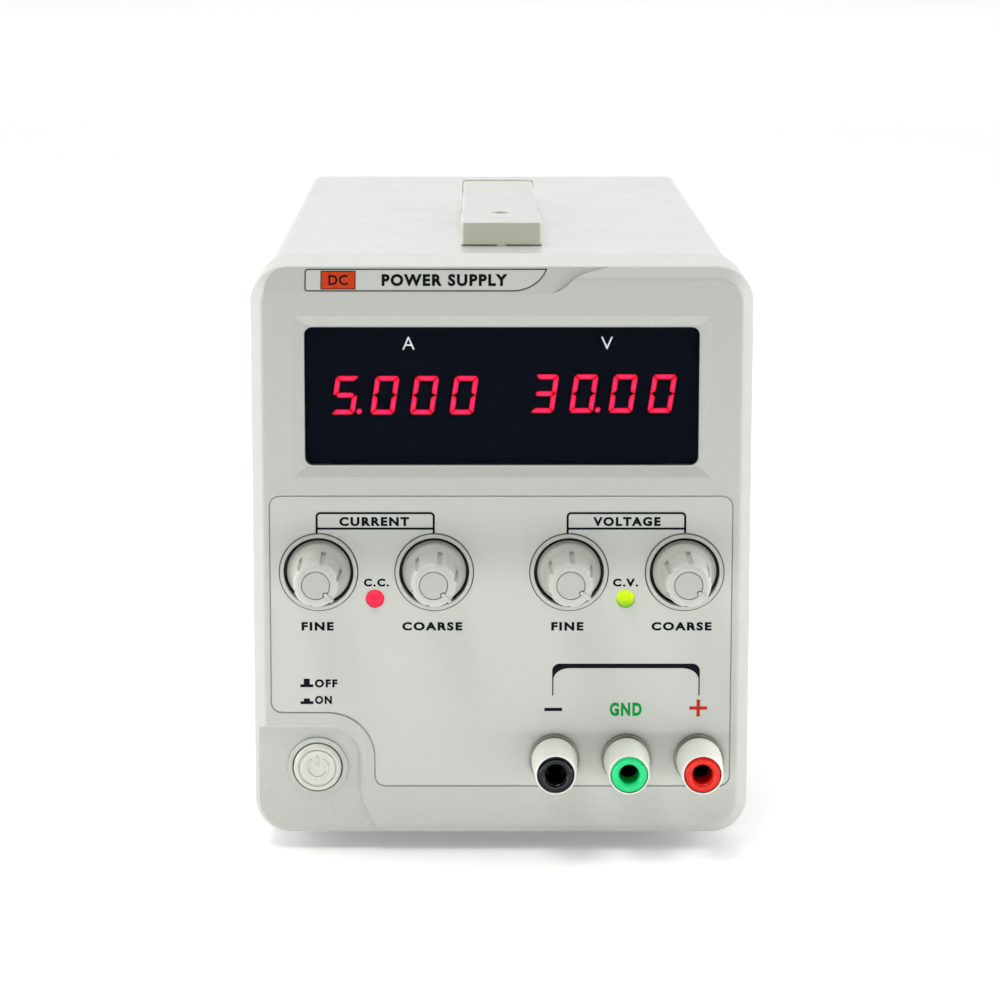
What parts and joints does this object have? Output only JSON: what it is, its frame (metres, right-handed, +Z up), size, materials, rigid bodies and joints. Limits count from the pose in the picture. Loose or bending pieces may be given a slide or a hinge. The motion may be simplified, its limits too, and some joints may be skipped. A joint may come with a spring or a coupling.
{
  "type": "bench power supply",
  "caption": "Linear bench power supply with a moulded front, red digit window, turning knobs, binding posts, a push button and a top carrying strap.",
  "frame": {"origin": "under the middle of the supply, on the surface its feet stand on", "axes": "+Z up, -Y out of the front panel, +X to the right of someone facing the front"},
  "size_m": [0.128, 0.3048, 0.1559],
  "materials": {
    "bezel_plastic": "fine spark-eroded grain",
    "label_film": "satin printed film",
    "plate_film": "satin film",
    "smoked_window": "polished smoked acrylic",
    "case_paint": "semi-gloss paint",
    "zinc_steel": "zinc plated sheet",
    "foot_rubber": "matt",
    "screw_steel": "nickel plated",
    "fan_plastic": "matt black",
    "guard_wire": "bright plated wire",
    "inlet_plastic": "black",
    "contact_metal": "nickel plated brass",
    "fuse_glass": "clear tube",
    "selector_red": "moulded red",
    "core_steel": "varnished laminations",
    "winding_tape": "copper under amber tape",
    "board_green": "solder resist",
    "capacitor_sleeve": "shrunk sleeve on a can",
    "sink_aluminium": "plain extrusion",
    "package_black": "moulded package",
    "digit_module": "black face",
    "pot_steel": "plated can",
    "knob_plastic": "satin moulded",
    "knob_cap_plastic": "satin moulded",
    "lamp_red": "diffused lens",
    "lamp_green": "diffused lens",
    "button_plastic": "satin moulded",
    "post_plastic": "moulded",
    "insert_black": "polished",
    "insert_green": "polished",
    "insert_red": "polished",
    "post_metal": "nickel plated brass",
    "handle_plastic": "moulded",
    "strap_plastic": "soft moulded"
  },
  "bodies": {
    "case": {"front_bezel": "bezel_plastic", "display_window": "smoked_window", "control_label": "label_film", "nameplate": "plate_film", "top_cover": "case_paint", "chassis_base": "zinc_steel", "rear_panel": "case_paint", "feet": "foot_rubber", "cover_screws": "screw_steel", "fan_frame": "fan_plastic", "fan_guard": "guard_wire", "fan_screws": "screw_steel", "inlet_housing": "inlet_plastic", "inlet_pins": "contact_metal", "selector_housing": "inlet_plastic", "transformer_core": "core_steel", "transformer_winding": "winding_tape", "transformer_clamp": "zinc_steel", "main_board": "board_green", "filter_capacitors": "capacitor_sleeve", "heatsink": "sink_aluminium", "pass_transistors": "package_black", "bridge_rectifier": "package_black", "display_board": "board_green", "digit_modules": "digit_module", "control_board": "board_green", "potentiometers": "pot_steel", "power_switch": "package_black", "post_studs": "post_metal", "post_washers": "screw_steel", "post_bushes": "post_plastic", "handle_caps": "handle_plastic", "handle_screws": "screw_steel", "current_lamp": "lamp_red", "voltage_lamp": "lamp_green"},
    "current_fine_knob": {"current_fine_knob": "knob_plastic", "current_fine_knob_cap": "knob_cap_plastic", "current_fine_shaft": "sink_aluminium"},
    "current_coarse_knob": {"current_coarse_knob": "knob_plastic", "current_coarse_knob_cap": "knob_cap_plastic", "current_coarse_shaft": "sink_aluminium"},
    "voltage_fine_knob": {"voltage_fine_knob": "knob_plastic", "voltage_fine_knob_cap": "knob_cap_plastic", "voltage_fine_shaft": "sink_aluminium"},
    "voltage_coarse_knob": {"voltage_coarse_knob": "knob_plastic", "voltage_coarse_knob_cap": "knob_cap_plastic", "voltage_coarse_shaft": "sink_aluminium"},
    "negative_post_insert": {"negative_post_insert": "insert_black"},
    "negative_post_cap": {"negative_post_cap": "post_plastic"},
    "ground_post_insert": {"ground_post_insert": "insert_green"},
    "ground_post_cap": {"ground_post_cap": "post_plastic"},
    "positive_post_insert": {"positive_post_insert": "insert_red"},
    "positive_post_cap": {"positive_post_cap": "post_plastic"},
    "power_button": {"power_button": "button_plastic", "power_plunger": "post_plastic"},
    "fan_rotor": {"fan_rotor": "fan_plastic"},
    "fuse_drawer": {"fuse_drawer": "inlet_plastic", "fuse_cartridge": "fuse_glass"},
    "selector_slider": {"selector_slider": "selector_red"},
    "handle_strap": {"handle_strap": "strap_plastic"}
  },
  "joints": [
    {"name": "current_fine_turn", "type": "hinge", "parent": "case", "child": "current_fine_knob", "pos_m": [-0.047, -0.13657, 0.0745], "axis": [0, 1, 0], "range_deg": [-285, 15]},
    {"name": "current_coarse_turn", "type": "hinge", "parent": "case", "child": "current_coarse_knob", "pos_m": [-0.0173, -0.13657, 0.0745], "axis": [0, 1, 0], "range_deg": [-285, 15]},
    {"name": "voltage_fine_turn", "type": "hinge", "parent": "case", "child": "voltage_fine_knob", "pos_m": [0.0173, -0.13657, 0.0745], "axis": [0, 1, 0], "range_deg": [-275, 25]},
    {"name": "voltage_coarse_turn", "type": "hinge", "parent": "case", "child": "voltage_coarse_knob", "pos_m": [0.047, -0.13657, 0.0745], "axis": [0, 1, 0], "range_deg": [-275, 25]},
    {"name": "negative_post_travel", "type": "slide", "parent": "case", "child": "negative_post_insert", "axis": [0, -1, 0], "range_m": [0, 0.003]},
    {"name": "negative_post_turn", "type": "hinge", "parent": "negative_post_insert", "child": "negative_post_cap", "pos_m": [0.0137, -0.13657, 0.0252], "axis": [0, -1, 0], "range_deg": [0, 1080]},
    {"name": "ground_post_travel", "type": "slide", "parent": "case", "child": "ground_post_insert", "axis": [0, -1, 0], "range_m": [0, 0.003]},
    {"name": "ground_post_turn", "type": "hinge", "parent": "ground_post_insert", "child": "ground_post_cap", "pos_m": [0.0324, -0.13657, 0.0252], "axis": [0, -1, 0], "range_deg": [0, 1080]},
    {"name": "positive_post_travel", "type": "slide", "parent": "case", "child": "positive_post_insert", "axis": [0, -1, 0], "range_m": [0, 0.003]},
    {"name": "positive_post_turn", "type": "hinge", "parent": "positive_post_insert", "child": "positive_post_cap", "pos_m": [0.0511, -0.13657, 0.0252], "axis": [0, -1, 0], "range_deg": [0, 1080]},
    {"name": "power_button_press", "type": "slide", "parent": "case", "child": "power_button", "axis": [0, -1, 0], "range_m": [-0.0008, 0.003], "stiffness_N_per_m": 300},
    {"name": "fan_spin", "type": "hinge", "parent": "case", "child": "fan_rotor", "pos_m": [0.014, 0.13543, 0.101], "axis": [0, 1, 0], "continuous": true},
    {"name": "fuse_drawer_slide", "type": "slide", "parent": "case", "child": "fuse_drawer", "axis": [0, 1, 0], "range_m": [0, 0.016]},
    {"name": "selector_slide", "type": "slide", "parent": "case", "child": "selector_slider", "axis": [1, 0, 0], "range_m": [0, 0.006]},
    {"name": "handle_lift", "type": "slide", "parent": "case", "child": "handle_strap", "axis": [0, 0, 1], "range_m": [0, 0.014]}
  ],
  "couplings": [
    {"joint": "negative_post_turn", "follows": "negative_post_travel", "rad_per_m": 6283.2},
    {"joint": "ground_post_turn", "follows": "ground_post_travel", "rad_per_m": 6283.2},
    {"joint": "positive_post_turn", "follows": "positive_post_travel", "rad_per_m": 6283.2}
  ]
}
